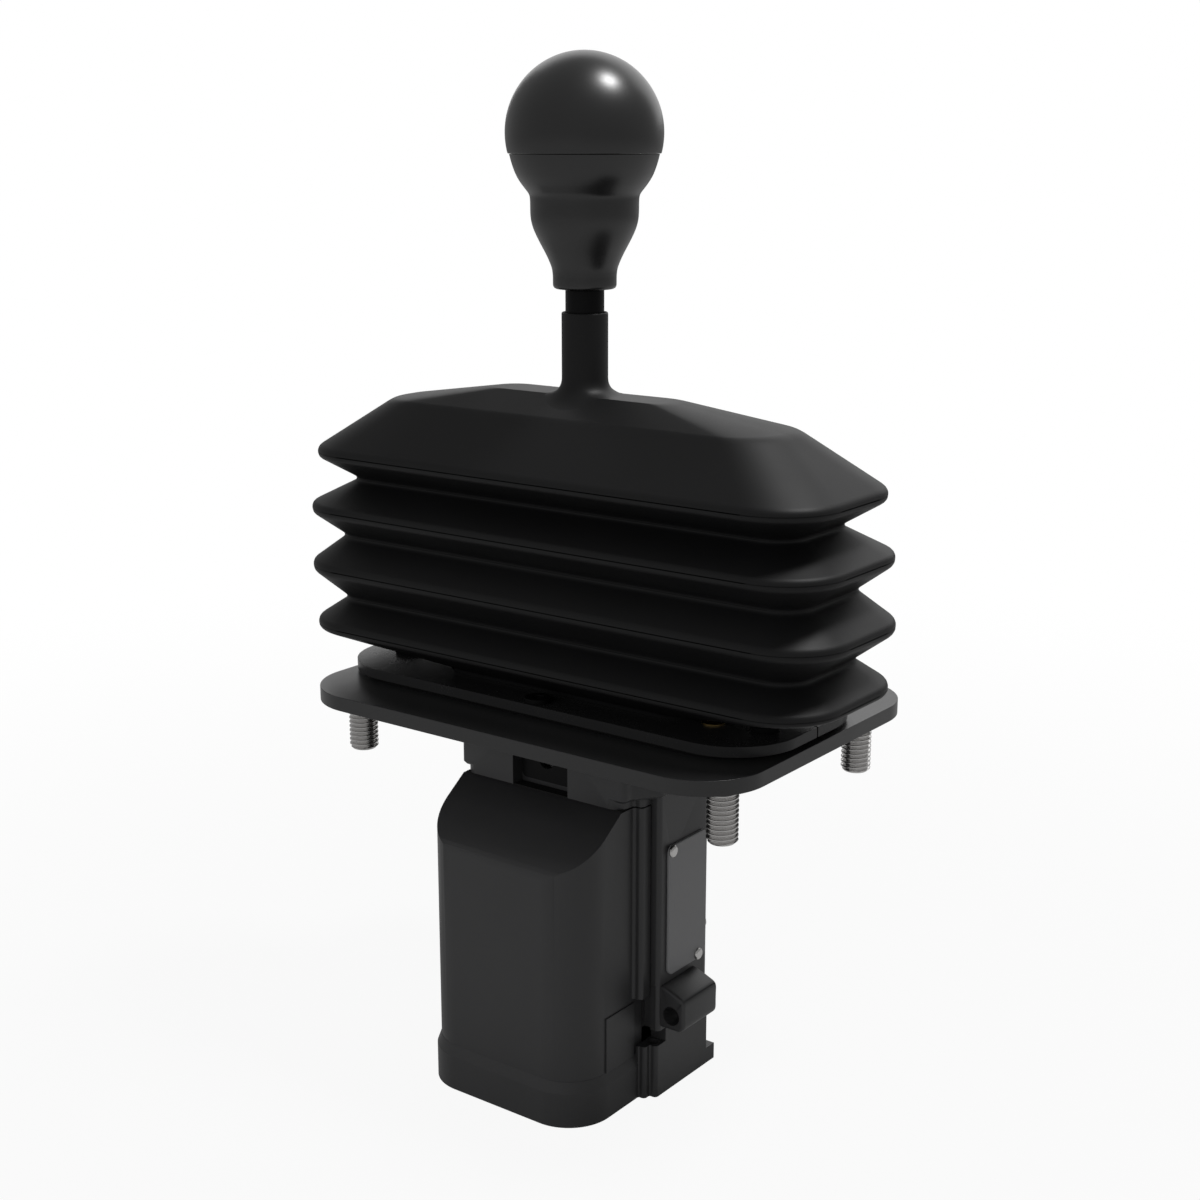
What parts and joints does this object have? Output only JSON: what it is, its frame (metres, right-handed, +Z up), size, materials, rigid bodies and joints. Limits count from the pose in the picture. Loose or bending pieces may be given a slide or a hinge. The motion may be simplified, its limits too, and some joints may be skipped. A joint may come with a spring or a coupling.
{
  "type": "industrial joystick",
  "caption": "Panel-mounted single-axis spring-return lever with ball knob, folded rubber gaiter on a stud-mounted flange, and a geared angle sensor housing below.",
  "frame": {"origin": "middle of the rectangular stud pattern, on the flange plate's underside where the panel lies; the lever's axis is 9 mm towards -Y of it", "axes": "+Z up along the upright lever, +X along the long side of the plate and the way the lever swings, +Y along the pivot shaft from the covered front to the back"},
  "size_m": [0.1698, 0.099, 0.2721],
  "materials": {
    "plate_paint": "black powder coat, low gloss",
    "frame_paint": "black paint, low gloss",
    "casting_paint": "fine-textured dark grey powder coat on die casting",
    "cover_plastic": "fine spark-eroded texture",
    "gaiter_rubber": "moulded black rubber, satin",
    "seal_rubber": "matt black rubber",
    "knob_plastic": "fine matt moulded plastic",
    "black_steel": "black oxide steel",
    "bright_steel": "stainless or bright zinc plated steel",
    "ground_steel": "ground steel",
    "spring_steel": "drawn spring wire",
    "hub_metal": "die-cast light alloy",
    "brass": "turned brass",
    "bronze": "sintered bronze",
    "gear_plastic": "natural white moulded plastic",
    "holder_plastic": "black moulded plastic",
    "magnet_metal": "nickel plated magnet",
    "board_laminate": "glass-fibre board with green solder mask",
    "sensor_plastic": "black moulding compound",
    "terminal_plastic": "grey moulded plastic",
    "plate_aluminium": "grey anodised sheet, blank"
  },
  "bodies": {
    "base": {"flange_plate": "plate_paint", "mounting_studs": "bright_steel", "housing_screws": "black_steel", "clamp_frame_front": "frame_paint", "clamp_frame_rear": "frame_paint", "clamp_screws": "black_steel", "gate_inserts": "brass", "bellows": "gaiter_rubber", "spindle_bush": "bronze", "gear_bracket": "bright_steel", "bracket_screws": "bright_steel", "sensor_board": "board_laminate", "board_screws": "bright_steel", "hall_sensor": "sensor_plastic", "pivot_housing": "casting_paint", "side_lugs": "casting_paint", "cover_screws": "bright_steel", "front_cover": "cover_plastic", "cover_seal": "seal_rubber", "base_cap": "cover_plastic", "base_screws": "bright_steel", "front_bush": "bronze", "rear_bush": "bronze", "axle_keeper": "black_steel", "keeper_screws": "black_steel", "stop_buffers": "seal_rubber", "return_spring": "spring_steel", "terminal_carrier": "bright_steel", "carrier_screws": "bright_steel", "terminal_block": "terminal_plastic", "terminal_screws": "bright_steel", "name_plate": "plate_aluminium", "plate_rivets": "bright_steel"},
    "lever": {"knob_cap": "knob_plastic", "knob_base": "knob_plastic", "knob_insert": "brass", "lever_rod": "black_steel", "pivot_hub": "hub_metal", "pivot_shaft": "ground_steel", "hub_pin": "ground_steel", "rod_set_screw": "black_steel", "sector_gear": "gear_plastic", "sector_screws": "bright_steel"},
    "pinion": {"pinion_gear": "ground_steel", "magnet_holder": "holder_plastic", "sensor_magnet": "magnet_metal"}
  },
  "joints": [
    {"name": "lever_tilt", "type": "hinge", "parent": "base", "child": "lever", "pos_m": [0, -0.009, -0.0095], "axis": [0, 1, 0], "range_deg": [-25, 25], "stiffness_Nm_per_rad": 3, "deforming": ["bellows", "return_spring"]},
    {"name": "pinion_spin", "type": "hinge", "parent": "base", "child": "pinion", "pos_m": [0, -0.009, -0.0415], "axis": [0, 1, 0], "range_deg": [-76, 76]}
  ],
  "couplings": [
    {"joint": "pinion_spin", "follows": "lever_tilt", "ratio": -3}
  ]
}
